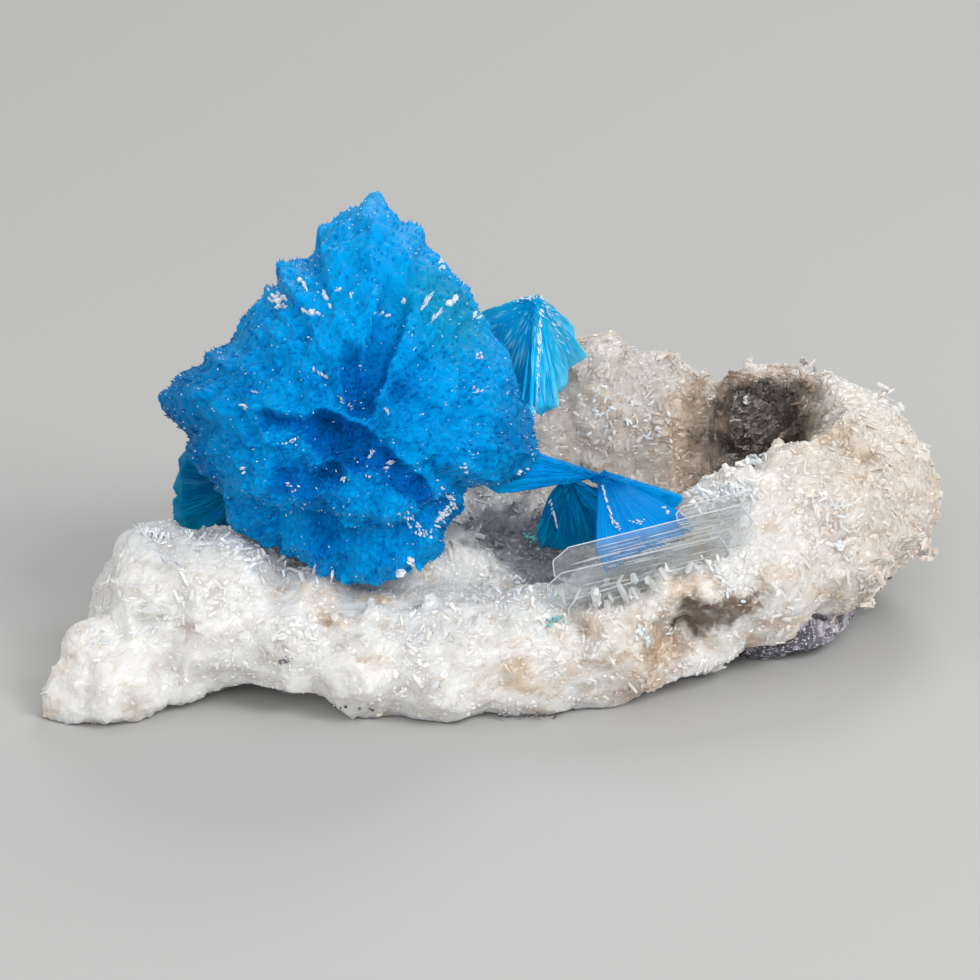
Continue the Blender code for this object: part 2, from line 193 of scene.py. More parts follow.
def remeshed(obj, fineness):
    """The piece with one closed skin of even, fine faces."""
    remesh = obj.modifiers.new("fine skin", "REMESH")
    remesh.mode = "VOXEL"
    remesh.voxel_size = fineness * MM
    bpy.context.view_layer.update()
    ready = obj.evaluated_get(bpy.context.evaluated_depsgraph_get())
    skin = bpy.data.meshes.new_from_object(ready)
    obj.modifiers.clear()
    obj.data = skin
    return obj


def textured(obj, texture):
    """Moves the skin in or out by a function of the place.

    It gives the move in millimetres, and two values that the finish reads: along, 0 in a
    crevice and 1 at a tip, and tone, which differs from crystal to crystal.
    """
    mesh = obj.data
    along = mesh.attributes.new("along", "FLOAT", "POINT")
    tone = mesh.attributes.new("tone", "FLOAT", "POINT")
    normals = [vertex.normal.copy() for vertex in mesh.vertices]
    for number, (vertex, normal) in enumerate(zip(mesh.vertices, normals)):
        move, along.data[number].value, tone.data[number].value = texture(vertex.co / MM)
        vertex.co = inside_box(vertex.co + normal * move * MM)
    return obj


def inside_box(point):
    """The point, brought back inside the specimen's own box."""
    low, high = cad_box
    return Vector([min(max(value, low[i]), high[i]) for i, value in enumerate(point)])


def broken_rock(point):
    """A rough break, with pits between its grains."""
    rough = noise.fractal(point / 0.9, 0.7, 2.0, 4)
    pit = noise.voronoi(point / ROCK_GRAIN)[0][0]
    return 0.22 * rough - 0.25 * pit, 0.5 + rough, pit


basalt_finish, tree, shader, where = new_finish("basalt grain")
specks = between(tree, grain(tree, where, 0.35, 3), 0.50, 0.60)
crystals = between(tree, grain(tree, where, 0.13, 2), 0.60, 0.66)
weathered = near_spot(tree, where, (19.3, -3.5, 2.6), 1.2, 3.4)
# Painted shade: the stone is darkened where its broken surface sinks.
pits = between(tree, wire(tree, "Attribute", attribute_name="along").outputs["Fac"], 0.5, 0.2)
stone = tinted(tree, specks, BASALT_DARK, BASALT_GREY)
stone = tinted(tree, times(tree, weathered, 0.7), stone, BASALT_LILAC)
stone = tinted(tree, times(tree, pits, 0.8), stone, BASALT_DARK)
stone = tinted(tree, crystals, stone, BASALT_FELDSPAR)
fill(tree, shader, {
    "Base Color": stone,
    "Roughness": between(tree, grain(tree, where, 0.3), 1.0, 0.2),
    "Normal": relief(tree, grain(tree, where, 0.25, 4, 0.7), 0.15),
})
basalt = textured(fine_skinned("basalt_rock", "basalt_host", BASALT_SKIN), broken_rock)
basalt.data.materials.append(basalt_finish)
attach(basalt, "root")
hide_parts("basalt_host")


# The stilbite druse
# One crust of cream stilbite crystals that grew over the basalt. Its body keeps the solid's form
# under a fine lumpy skin, and thousands of small flat blades stand out of it.
DRUSE_SKIN = 0.22
DRUSE_TOE = (  # the middle and the half sizes of the fillings round it
    ((-16.7, -10.8, 1.25), (2.4, 1.6, 1.2)),
    ((-20.0, -10.6, 3.0), (2.2, 1.8, 1.8)),
)
TUFT_SIZE = 1.3
CRYSTAL_SIZE = 0.62
SMALL_CRYSTAL_SIZE = 0.36
DRUSE_TUFTS = 13000
TOE_TUFTS = 0.3  # their share on the toe, which is smoother
TOE_TOP = 4
BLADES_IN_TUFT = (1, 3)
BLADE_FOOT = 0.7  # how wide a blade is at its root, beside its widest place
BLADE_POINT = 0.25  # the share of its length that is its pointed end
BLADE_LENGTH = (0.30, 0.80)
BLADE_WIDTH = (0.13, 0.36)
BLADE_THICKNESS = (0.07, 0.20)
COARSENESS = (0.38, 0.55, 0.34)  # everywhere, in patches, and more towards the right
COARSE_PATCH = 3.2
LARGE_BLADES = (0.09, 1.35)  # their share, and how much larger they are
BLADE_SHOWN = (0.14, 0.08)  # the share of a blade that stands out, and more at the right
DRUSE_WIDTH = 40
CLEAR_OF_OTHERS = 0.22
CLEAR_OF_BOX = 0.1
CLEAR_OF_FLOOR = 0.2
STILBITE_GLOW = 0.9
STILBITE_WHITE = (0.71, 0.70, 0.68)
STILBITE_PEACH = (0.60, 0.49, 0.385)
STILBITE_TAN = (0.46, 0.30, 0.18)
STILBITE_GREY = (0.56, 0.59, 0.62)
STILBITE_SHADE = (0.038, 0.027, 0.021)
DRUSE_TINTS = (  # a spot, the distances where it is full and where it ends, colour and share
    ((19.0, 0.0, 6.5), 4.0, 10.0, STILBITE_PEACH, 0.55),
    ((7.0, -9.5, 3.0), 1.0, 5.0, STILBITE_PEACH, 0.45),
    ((-18.0, -8.0, 4.0), 4.0, 10.0, STILBITE_WHITE, 0.8),
)
DRUSE_STAINS_AND_SHADOWS = (  # likewise, over the tan in the crevices: stains, and painted shadow and shade
    # Painted shade, partly its own cream brown: the back ridge darker.
    ((7.0, 7.5, 9.5), 4.0, 9.0, (0.47, 0.42, 0.37), 0.70),
    # Painted shadow in the bowl behind the right lobe: brownish at its lower side.
    ((14.0, 6.4, 7.4), 3.4, 7.0, STILBITE_TAN, 0.60),
    # Painted shade, partly its grey crystals: the left crust beside the rosette greyer.
    ((-16.0, -5.0, 8.0), 2.5, 6.5, STILBITE_GREY, 0.45),
    # Painted shadow in the bowl: brownish at its rim, darkest at its heart.
    ((15.4, 7.0, 10.2), 1.5, 4.2, STILBITE_TAN, 0.55),
    ((15.2, 6.6, 7.7), 2.3, 5.6, STILBITE_SHADE, 0.97),
    # Painted shadow in the hollows behind and under the arm spray.
    ((0.6, 0.5, 5.4), 2.4, 4.6, (0.12, 0.13, 0.16), 0.88),
    ((3.4, -3.6, 4.6), 1.6, 3.6, (0.16, 0.17, 0.20), 0.80),
    # Painted shadow, brownish, along the top of the pocket in the front.
    ((9.7, -9.2, 4.5), 0.5, 1.5, (0.15, 0.10, 0.065), 0.9),
    ((11.0, -9.4, 4.6), 0.7, 1.8, (0.13, 0.085, 0.055), 0.93),
    ((12.5, -9.2, 4.9), 0.4, 1.4, (0.15, 0.10, 0.065), 0.9),
    ((8.2, -10.4, 2.6), 0.8, 2.8, (0.44, 0.29, 0.18), 0.75),
    ((13.0, -6.6, 3.4), 0.8, 2.4, STILBITE_TAN, 0.7),
)


def skin_tree(mesh):
    """A skin, for asking how near a point is and where a line meets it."""
    corners = [vertex.co for vertex in mesh.vertices]
    return BVHTree.FromPolygons(corners, [tuple(face.vertices) for face in mesh.polygons])


def blade_place(root, tip, wide, thick, facing):
    """Where a blade of unit size goes, from its root to its tip, its flat side facing so."""
    along = tip - root
    z_axis = along.normalized()
    x_axis = facing.cross(z_axis).normalized()
    aim = Matrix((x_axis, z_axis.cross(x_axis), z_axis)).transposed().to_4x4()
    return Matrix.Translation(root) @ aim @ Matrix.Diagonal((wide, thick, along.length, 1))


def bed_of_blades(name, places):
    """A piece of many blades: one is made and doubled, and each copy goes to its place.

    A place is a matrix and the tone that the finish reads.
    """
    bm = bmesh.new()
    along = bm.verts.layers.float.new("along")
    tone = bm.verts.layers.float.new("tone")
    bmesh.ops.create_cone(
        bm,
        cap_ends=True,
        segments=4,
        radius1=0.5 * BLADE_FOOT,
        radius2=0.5,
        depth=1 - BLADE_POINT,
        matrix=Matrix.Translation((0, 0, (1 - BLADE_POINT) / 2)),
    )
    end = max(bm.faces, key=lambda face: face.calc_center_median().z)
    peak = bmesh.ops.poke(bm, faces=[end])["verts"]
    bmesh.ops.translate(bm, verts=peak, vec=(0, 0, BLADE_POINT))
    for vertex in bm.verts:
        vertex[along] = vertex.co.z
    blades = [bm.verts[:]]
    while len(blades) < len(places):
        more = blades[: len(places) - len(blades)]
        geometry = dict.fromkeys(
            part
            for blade in more
            for corner in blade
            for part in (corner, *corner.link_edges, *corner.link_faces)
        )
        copy_of = bmesh.ops.duplicate(bm, geom=list(geometry))["vert_map"]
        blades += [[copy_of[corner] for corner in blade] for blade in more]
    for blade, (matrix, shade) in zip(blades, places):
        for corner in blade:
            corner.co = inside_box(matrix @ corner.co)
            corner[tone] = shade
    return piece(name, bm)


def any_way(chance):
    """A direction at random."""
    return Vector([chance.gauss(0, 1) for _ in range(3)]).normalized()


def druse_texture(point):
    """Lumps the size of tufts, with facets the size of single crystals."""
    lump = noise.fractal(point / TUFT_SIZE, 0.8, 2.0, 3)
    apart = noise.voronoi(point / CRYSTAL_SIZE)[0]
    facet = apart[1] - apart[0]
    small = noise.voronoi(point / SMALL_CRYSTAL_SIZE)[0]
    move = 0.14 * lump + 0.13 * min(facet, 0.8) + 0.09 * min(small[1] - small[0], 0.7) - 0.14
    return move, 0.25 + 0.5 * facet + 0.35 * lump, noise.cell(point / CRYSTAL_SIZE)


def stained_and_shaded(tree, where, colour, stains):
    """A colour with others mixed in round spots: real stains and colours, and painted light and
    shade.

    A stain has its spot, the distances where it is full and where it ends, colour and share.
    """
    for spot, full, none, shade, share in stains:
        near = near_spot(tree, where, spot, full, none)
        colour = tinted(tree, times(tree, near, share), colour, shade)
    return colour


others = [
    skin_tree(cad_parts[name].data)
    for name in (
        "cavansite_rosette",
        "cavansite_rear_spray",
        "cavansite_arm_spray",
        "cavansite_hollow_spray",
        "cavansite_left_spray",
        "stilbite_clear_tablets",
    )
]


def clear_of_others(points):
    """Whether every point keeps its distance from the other minerals."""
    clear = CLEAR_OF_OTHERS * MM
    found = (tree.find_nearest(point, clear)[0] for point in points for tree in others)
    return all(touch is None for touch in found)


def grown_balls(balls):
    """A filling of balls, each with its middle and its half sizes."""
    bm = bmesh.new()
    for middle, half in balls:
        ball = bmesh.ops.create_icosphere(bm, subdivisions=4, radius=MM)["verts"]
        bmesh.ops.scale(bm, verts=ball, vec=half)
        bmesh.ops.translate(bm, verts=ball, vec=place(middle))
    return piece("filling", bm)


druse_body = fine_skinned("druse_body", "stilbite_druse", DRUSE_SKIN, grown_balls(DRUSE_TOE))
textured(druse_body, druse_texture)

chance = random.Random(21)
skin = druse_body.data
open_faces = [face for face in skin.polygons if face.center.z > 0.35 * MM and face.normal.z > -0.8]
toe_middle = place(DRUSE_TOE[0][0])
weights = [
    face.area
    * (1.0 + 0.5 * face.normal.z - 0.4 * face.normal.y)
    * (TOE_TUFTS if face.center.x < toe_middle.x and face.center.z < TOE_TOP * MM else 1.0)
    for face in open_faces
]
low, high = cad_box
blades = []
for face in chance.choices(open_faces, weights, k=DRUSE_TUFTS):
    rightward = min(max(face.center.x / MM / DRUSE_WIDTH + 0.5, 0.0), 1.0)
    patch = noise.noise(face.center / MM / COARSE_PATCH) + 0.5
    coarse = COARSENESS[0] + COARSENESS[1] * patch + COARSENESS[2] * rightward
    lie = face.normal * chance.uniform(0.1, 1.3) + any_way(chance)
    if lie.dot(face.normal) < 0:
        lie = lie - 2 * face.normal * lie.dot(face.normal)
    lie = lie.normalized()
    shade = chance.random()
    if chance.random() < LARGE_BLADES[0] and face.normal.z > -0.2:
        coarse = LARGE_BLADES[1] * coarse
    for _ in range(chance.randint(*BLADES_IN_TUFT)):
        out = (lie + 0.25 * any_way(chance)).normalized()
        long = chance.uniform(*BLADE_LENGTH) * coarse * MM
        shown = BLADE_SHOWN[0] + BLADE_SHOWN[1] * rightward
        root = face.center - out * (1 - shown) * long
        tip = face.center + out * shown * long
        edge = CLEAR_OF_BOX * MM
        outside = any(tip[i] < low[i] + edge or tip[i] > high[i] - edge for i in range(3))
        if outside or root.z < CLEAR_OF_FLOOR * MM or not clear_of_others((face.center, tip)):
            continue
        wide = chance.uniform(*BLADE_WIDTH) * coarse * MM
        thick = chance.uniform(*BLADE_THICKNESS) * coarse * MM
        facing = face.normal + 0.8 * any_way(chance)
        matrix = blade_place(root, tip, wide, thick, facing)
        blades.append((matrix, 0.7 * shade + 0.3 * chance.random()))
blades.sort(key=lambda blade: blade[0].translation.y)
third = len(blades) // 3 + 1
druse_front = bed_of_blades("druse_blades_front", blades[:third])
druse_middle = bed_of_blades("druse_blades_middle", blades[third : 2 * third])
druse_back = bed_of_blades("druse_blades_back", blades[2 * third :])


def cream_stilbite(name, glow):
    """A cream stilbite finish, with as much light passing under the surface as the glow says."""
    finish, tree, shader, where = new_finish(name)
    along = wire(tree, "Attribute", attribute_name="along").outputs["Fac"]
    tone = wire(tree, "Attribute", attribute_name="tone").outputs["Fac"]
    patches = between(tree, grain(tree, where, 5.5, 3), 0.46, 0.62)
    clouds = between(tree, grain(tree, where, 1.4, 3), 0.40, 0.70)
    crevice = between(tree, along, 0.30, 0.0)
    stilbite = tinted(tree, times(tree, patches, clouds), STILBITE_WHITE, STILBITE_PEACH)
    greyish = times(tree, between(tree, tone, 0.75, 1.0), 0.4)
    stilbite = tinted(tree, greyish, stilbite, STILBITE_GREY)
    drift = wire(tree, "TexNoise", {"Vector": where, "Scale": 1 / (1.6 * MM), "Detail": 4.0})
    drift = drift.outputs["Color"]
    drift = wire(tree, "VectorMath", {0: drift, 1: (0.5, 0.5, 0.5)}, operation="SUBTRACT")
    drift = wire(tree, "VectorMath", {0: drift.outputs[0], "Scale": 6 * MM}, operation="SCALE")
    ragged = wire(tree, "VectorMath", {0: where, 1: drift.outputs[0]}, operation="ADD").outputs[0]
    stilbite = stained_and_shaded(tree, ragged, stilbite, DRUSE_TINTS)
    # Tan in the crevices: partly their own tan stain, partly painted shade where the skin sinks.
    stilbite = tinted(tree, times(tree, times(tree, crevice, clouds), 0.5), stilbite, STILBITE_TAN)
    stilbite = stained_and_shaded(tree, ragged, stilbite, DRUSE_STAINS_AND_SHADOWS)
    fill(tree, shader, {
        "Base Color": stilbite,
        "Roughness": between(tree, tone, -0.6, 2.6, smooth=False),
        "IOR": 1.5,
        "Subsurface Weight": glow,
        "Subsurface Radius": (1.0, 0.86, 0.70),
        "Subsurface Scale": 1.8 * MM,
        "Normal": relief(tree, grain(tree, where, 0.15, 3), 0.03),
    })
    return finish


# Light that passed into a thin blade would be lost in the body behind it, so only the body glows.
body_finish = cream_stilbite("cream stilbite", STILBITE_GLOW)
blade_finish = cream_stilbite("cream stilbite blades", 0.0)
for obj in (druse_body, druse_front, druse_middle, druse_back):
    obj.data.materials.append(body_finish if obj == druse_body else blade_finish)
    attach(obj, "root")
    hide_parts("stilbite_druse")


# The cavansite rosette
# A ball of blue cavansite, in which thousands of thin blades radiate from one centre in broad
# fans. It grew on the front ridge of the druse, and its underside is sunk a little into it.
ROSETTE_CENTRE = (-6.5, -3.0, 12.5)
GROWTH_CENTRE = (-7.3, -6.0, 11.8)  # behind the hollow in front, where the fans meet
ROSETTE_OUTLINE = (  # its outermost points as they are seen: right of the centre and up
    (0.6, 12.5), (1.9, 10.9), (2.4, 10.8), (3.2, 10.3), (3.2, 9.5), (3.9, 9.2),
    (4.8, 7.8), (5.6, 7.4), (5.9, 6.6), (6.6, 5.1), (7.3, 4.3), (7.7, 3.4),
    (8.2, 2.5), (8.4, 1.4), (8.8, 0.8), (9.2, -1.1), (9.4, -1.7), (7.8, -3.5),
    (5.4, -3.6), (5.4, -4.5), (4.2, -5.7), (4.4, -6.8), (3.1, -8.3), (1.9, -8.6),
    (1.3, -8.5), (0.8, -9.1), (0.3, -8.7), (0.1, -9.4), (-0.7, -8.9), (-1.5, -9.2),
    (-2.2, -8.6), (-3.1, -7.5), (-3.8, -7.1), (-5.1, -6.8), (-7.1, -5.6), (-7.8, -4.2),
    (-8.1, -3.2), (-9.4, -1.9), (-9.5, -0.5), (-10.8, 0.8), (-11.0, 1.6), (-9.9, 2.6),
    (-8.6, 3.2), (-8.6, 3.8), (-7.1, 4.4), (-6.3, 6.1), (-5.7, 6.6), (-5.4, 6.6),
    (-5.3, 7.4), (-4.7, 7.5), (-4.8, 8.7), (-2.6, 9.0), (-2.5, 10.5), (-1.3, 11.2),
    (-0.2, 11.8),
)
ROSETTE_DEPTH = (7.8, 6.6)  # to the front and to the back
ROSETTE_CRACKS = (  # as they are seen, in shares of the depth: from, to, half width, depth
    ((-0.26, -0.05), (0.00, -0.17), 0.10, 1.0),
    ((-0.26, -0.05), (-0.60, 0.02), 0.05, 0.45),
    ((0.00, 0.12), (0.20, 0.72), 0.07, 0.9),
    ((-0.04, 0.10), (-0.08, 0.45), 0.05, 0.6),
    ((0.10, -0.22), (0.40, -0.46), 0.06, 0.6),
    ((-0.18, -0.33), (-0.50, -0.36), 0.05, 0.25),
)
ROSETTE_SKIN = 0.145
FANS_ACROSS = 2.4  # how closely the fans are set, and the folds in them
FOLDS_ACROSS = 6
FAR_OUT = 30  # outside every crystal, to look back from
ROSETTE_BLADES = 4600
END_LENGTH = (0.4, 1.1)
END_WIDTH = (0.08, 0.22)
END_THICKNESS = (0.05, 0.09)
END_SHOWN = 0.10  # the share of a crystal's end that stands out
CAVANSITE_GLOW = 0.6
BLUE_DEEP = (0.000, 0.030, 0.14)
BLUE_FULL = (0.000, 0.095, 0.37)
BLUE_TIP = (0.000, 0.28, 0.64)
BLUE_TEAL = (0.003, 0.22, 0.33)
ROSETTE_TEAL_LIGHT_AND_SHADE = (  # a spot, the distances where it is full and where it ends, colour and share
    # Painted light, partly its paler top fan: the top and the upper right paler where the light
    # falls.
    ((-5.9, -3.0, 21.5), 2.0, 8.5, BLUE_TIP, 0.75),
    ((-0.5, -6.0, 16.0), 1.0, 4.5, BLUE_TIP, 0.35),
    ((-2.6, -4.0, 19.0), 1.0, 4.2, BLUE_TEAL, 0.65),
    ((-14.5, -4.5, 8.5), 1.0, 3.0, BLUE_TEAL, 0.6),
    ((-12.6, -8.0, 6.4), 0.6, 1.8, BLUE_TEAL, 0.9),
    # Painted shade: the left side and a patch at the right darker.
    ((-16.0, -3.0, 12.5), 2.0, 8.0, BLUE_DEEP, 0.55),
    ((1.4, -5.5, 12.0), 1.5, 4.6, BLUE_DEEP, 0.42),
    # Painted shade: the hollow in front darkest, a crack above it and the lower front darker.
    ((-7.8, -9.6, 12.6), 0.4, 2.0, (0.0, 0.012, 0.06), 0.85),
    ((-5.6, -9.0, 14.6), 0.2, 1.6, BLUE_DEEP, 0.45),
    ((-1.6, -8.0, 9.0), 0.6, 3.0, BLUE_DEEP, 0.35),
)


def seen(right, up, forward):
    """A direction given as it is seen in the front view, which looks down a little."""
    c, s = math.cos(VIEW_TILT), math.sin(VIEW_TILT)
    return Vector((right, up * s - forward * c, up * c + forward * s))


def outline_reach(angle):
    """How far the outline lies from the rosette's centre that way round, in millimetres."""
    far = Vector((math.cos(angle), math.sin(angle))) * 40
    sides = zip(ROSETTE_OUTLINE, ROSETTE_OUTLINE[1:] + ROSETTE_OUTLINE[:1])
    meets = [intersect_line_line_2d((0, 0), far, first, second) for first, second in sides]
    return max(meet.length for meet in meets if meet)


OUTLINE_REACHES = [outline_reach(math.radians(step / 2)) for step in range(720)]


def in_a_crack(direction):
    """How deep a direction from the rosette's centre lies in its hollow or its cracks."""
    if direction.dot(seen(0, 0, 1)) < 0.3:
        return 0.0
    seen_at = Vector((direction.x, direction.dot(seen(0, 1, 0)), 0))
    deepest = 0.0
    for first, second, width, depth in ROSETTE_CRACKS:
        nearest, share = intersect_point_line(seen_at, Vector((*first, 0)), Vector((*second, 0)))
        if share < 0 or share > 1:
            nearest = Vector((*(first if share < 0 else second), 0))
        apart = (nearest - seen_at).length / width
        deepest = max(deepest, depth * max(0.0, 1 - apart * apart / 2))
    return deepest


def rosette_reach(direction, solid):
    """How far the rosette reaches along a direction from its centre, in millimetres.

    Its outline is as it is seen from the front, and it is domed towards the front and the back.
    """
    right, up, forward = direction.x, direction.dot(seen(0, 1, 0)), direction.dot(seen(0, 0, 1))
    rim = OUTLINE_REACHES[round(math.degrees(math.atan2(up, right)) * 2) % 720]
    dome = ROSETTE_DEPTH[0] if forward > 0 else ROSETTE_DEPTH[1]
    reach = 1 / math.hypot(math.hypot(right, up) / rim, forward / dome)
    apart = noise.voronoi(direction * FANS_ACROSS)[0]
    crease = max(0.0, 1 - (apart[1] - apart[0]) / 0.30)
    smaller = noise.voronoi(direction * FOLDS_ACROSS)[0]
    seam = max(0.0, 0.6 - smaller[1] + smaller[0])
    reach = reach * (1 - 0.06 * crease ** 2 * abs(forward) - 0.05 * seam)
    reach = reach - in_a_crack(direction)
    carried = min(max((-direction.z - 0.2) / 0.5, (-forward - 0.2) / 0.3, 0.0), 1.0)
    if carried:
        centre = place(ROSETTE_CENTRE)
        end = solid.ray_cast(centre + direction * FAR_OUT * MM, -direction)[0]
        limit = (end - centre).length / MM + 0.3 + 0.9 * max(0.0, -direction.z - 0.25)
        reach = reach + carried * min(limit - reach, 0.0)
    return reach


def rosette_form():
    """The rosette's rounded body, before its fine relief."""
    solid = skin_tree(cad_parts["cavansite_rosette"].data)
    bm = bmesh.new()
    bmesh.ops.create_icosphere(bm, subdivisions=7, radius=1)
    for vertex in bm.verts:
        direction = vertex.co.normalized()
        spot = direction * rosette_reach(direction, solid)
        sunk = max(0.0, -spot.dot(seen(0, 1, 0)))
        spot += 0.28 * sunk * seen(0, 0, 1)
        vertex.co = inside_box(place(Vector(ROSETTE_CENTRE) + spot))
    return remeshed(piece("rosette_body", bm), ROSETTE_SKIN)


def sugary(point):
    """The rosette's fine relief: the ends of crystals, drawn out along the fans."""
    out = point - place(GROWTH_CENTRE) / MM
    way = out.normalized()
    streak = noise.noise(way * 22)
    broad = noise.noise(way * 6)
    apart = noise.voronoi(Vector((way * 14)) + 0.35 * out)[0]
    facet = min(apart[1] - apart[0], 0.6)
    crack = in_a_crack((point - place(ROSETTE_CENTRE) / MM).normalized())
    move = 0.07 * streak + 0.10 * broad + 0.20 * facet - 0.13
    # The along value holds painted shade, lower in the hollow and cracks, and painted light, higher
    # further out.
    return move, 0.52 + 0.20 * facet + 0.05 * out.length - 0.75 * crack, 0.5 + 0.5 * broad


def crystal_ends(mesh, chance):
    """Places for the small blades whose ends stand out of the rosette, growing from one centre."""
    centre = place(GROWTH_CENTRE)
    areas = [face.area for face in mesh.polygons]
    places = []
    for face in chance.choices(mesh.polygons[:], areas, k=ROSETTE_BLADES):
        spot = face.center
        direction = (spot - centre).normalized()
        out = (direction + 0.25 * face.normal + 0.16 * any_way(chance)).normalized()
        length = chance.uniform(*END_LENGTH) * MM
        root, tip = spot - out * (1 - END_SHOWN) * length, spot + out * END_SHOWN * length
        facing = face.normal.cross(out) + 0.5 * any_way(chance)
        if abs(direction.dot(face.normal)) < 0.6:
            facing = face.normal + 0.3 * any_way(chance)
        width = chance.uniform(*END_WIDTH) * MM
        thickness = chance.uniform(*END_THICKNESS) * MM
        crack = in_a_crack((spot - place(ROSETTE_CENTRE)).normalized())
        blade = blade_place(root, inside_box(tip), width, thickness, facing)
        # The tone holds painted shade, lower in the hollow and cracks, over a random part.
        places.append((blade, chance.random() - 2 * crack))
    return places


def cavansite_group():
    """The colour and relief of radiating blades, for each cavansite finish."""
    group = bpy.data.node_groups.new("radiating blades", "ShaderNodeTree")
    for side, name, kind in (
        ("INPUT", "Place", "Vector"),
        ("INPUT", "Centre", "Vector"),
        ("INPUT", "Deep", "Color"),
        ("INPUT", "Full", "Color"),
        ("INPUT", "Tip", "Color"),
        ("OUTPUT", "Colour", "Color"),
        ("OUTPUT", "Roughness", "Float"),
        ("OUTPUT", "Normal", "Vector"),
    ):
        group.interface.new_socket(name, in_out=side, socket_type="NodeSocket" + kind)
    given = group.nodes.new("NodeGroupInput").outputs
    made = group.nodes.new("NodeGroupOutput")
    along = wire(group, "Attribute", attribute_name="along").outputs["Fac"]
    tone = wire(group, "Attribute", attribute_name="tone").outputs["Fac"]
    out = wire(group, "VectorMath", {0: given["Place"], 1: given["Centre"]}, operation="SUBTRACT")
    way = wire(group, "VectorMath", {0: out.outputs[0]}, operation="NORMALIZE").outputs[0]
    needle = wire(group, "TexNoise", {"Vector": way, "Scale": 60.0, "Detail": 3.0}).outputs["Fac"]
    clouds = grain(group, given["Place"], 2.6, 3)
    # Painted light and shade: lighter towards the ends and tips, darker in crevices and cracks,
    # with clouds and random tone.
    lit = wire(group, "Math", {0: clouds, 1: 0.7, 2: along}, operation="MULTIPLY_ADD").outputs[0]
    lit = wire(group, "Math", {0: tone, 1: 0.30, 2: lit}, operation="MULTIPLY_ADD").outputs[0]
    colour = tinted(group, between(group, lit, 0.25, 0.85), given["Deep"], given["Full"])
    colour = tinted(group, between(group, lit, 1.0, 1.6), colour, given["Tip"])
    fill(group, made, {
        "Colour": colour,
        "Roughness": between(group, grain(group, given["Place"], 0.3), -0.6, 1.6, smooth=False),
        "Normal": relief(group, needle, 0.06),
    })
    return group


RADIATING_BLADES = cavansite_group()


def cavansite(name, glow, centre, deep, full, tip):
    """A cavansite finish whose blades radiate from a centre."""
    material, tree, shader, where = new_finish(name)
    look = wire(tree, "Group", node_tree=RADIATING_BLADES)
    fill(tree, look, {
        "Place": where,
        "Centre": centre,
        "Deep": (*deep, 1),
        "Full": (*full, 1),
        "Tip": (*tip, 1),
    })
    fill(tree, shader, {
        "Base Color": look.outputs["Colour"],
        "Roughness": look.outputs["Roughness"],
        "Normal": look.outputs["Normal"],
        "IOR": 1.54,
        "Specular Tint": (0.00, 0.45, 1.0, 1),
        "Subsurface Weight": glow,
        "Subsurface Radius": (0.2, 0.75, 1.0),
        "Subsurface Scale": 0.8 * MM,
    })
    return material


def carries(obj, finish, node):
    """Gives a piece of cavansite its finish, and stands it in place of its CAD solid."""
    obj.data.materials.append(finish)
    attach(obj, "root")
    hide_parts(node)


def blue(name, glow):
    """The rosette's finish, with its top paler as painted light, its teal flanks, and its left
    side, hollow and cracks darker as painted shade.
    """
    finish = cavansite(name, glow, place(GROWTH_CENTRE), BLUE_DEEP, BLUE_FULL, BLUE_TIP)
    tree = finish.node_tree
    shader = tree.nodes["Principled BSDF"]
    colour = shader.inputs["Base Color"].links[0].from_socket
    where = wire(tree, "TexCoord").outputs["Object"]
    fill(tree, shader, {"Base Color": stained_and_shaded(tree, where, colour, ROSETTE_TEAL_LIGHT_AND_SHADE)})
    return finish


rosette_body = rosette_form()
chance = random.Random(31)
ends = crystal_ends(rosette_body.data, chance)
textured(rosette_body, sugary)
carries(rosette_body, blue("blue cavansite", CAVANSITE_GLOW), "cavansite_rosette")
rosette_blades = bed_of_blades("rosette_blades", ends)
carries(rosette_blades, blue("blue cavansite blades", 0.0), "cavansite_rosette")


# The smaller cavansite sprays
# Half-open fans of the same mineral: a pale one behind the rosette, a bow tie to its right that
# reaches the clear tablets, a dark one in the hollow, and a teal one under its left side. The pale
# one's colour is partly painted light, and the dark one's partly painted shade.
# Pale blue: partly its own paler colour, partly painted light where the light falls on it.
PALE_DEEP = (0.000, 0.26, 0.62)
PALE_FULL = (0.004, 0.46, 0.84)
PALE_TIP = (0.18, 0.68, 0.92)
ARM_FULL = (0.000, 0.21, 0.60)
ARM_FAN_BLADES = 110  # behind the clear tablets
ARM_FAN_APEX = (5.9, -4.2, 9.8)
ARM_FAN_EDGE = ((5.8, -9.1, 6.5), (10.8, -7.0, 8.2))
ARM_FAN_WIDTH = (0.5, 0.9)
ARM_FAN_THICKNESS = (0.08, 0.15)
NEEDLE_PITCH = 0.5
NEEDLE_RELIEF = 0.08
NEEDLE_LENGTH = (1.5, 4.0)
NEEDLE_WIDTH = (0.08, 0.20)
NEEDLE_THICKNESS = (0.03, 0.06)
# Dark teal: partly its own colour, partly painted shade.
TEAL_DEEP = (0.000, 0.05, 0.13)
TEAL_FULL = (0.000, 0.13, 0.36)
TEAL_TIP = (0.00, 0.26, 0.42)
SPRAYS = (  # name, apex, skin, reach, blades, slot, colours
    ("rear_spray", (2.4, 1.0, 18.0), 0.13, 8.0, 1000, "pale_cavansite",
     (PALE_DEEP, PALE_FULL, PALE_TIP)),
    ("arm_spray", (5.7, -4.0, 10.0), 0.11, 6.0, 700, "blue_cavansite",
     (BLUE_FULL, ARM_FULL, BLUE_TIP)),
    ("hollow_spray", (4.1, -1.4, 9.0), 0.11, 5.0, 400, "teal_cavansite",
     (TEAL_DEEP, TEAL_FULL, TEAL_TIP)),
    ("left_spray", (-12.8, -0.6, 8.2), 0.11, 5.0, 400, "teal_cavansite",
     (TEAL_DEEP, TEAL_FULL, BLUE_TEAL)),
)
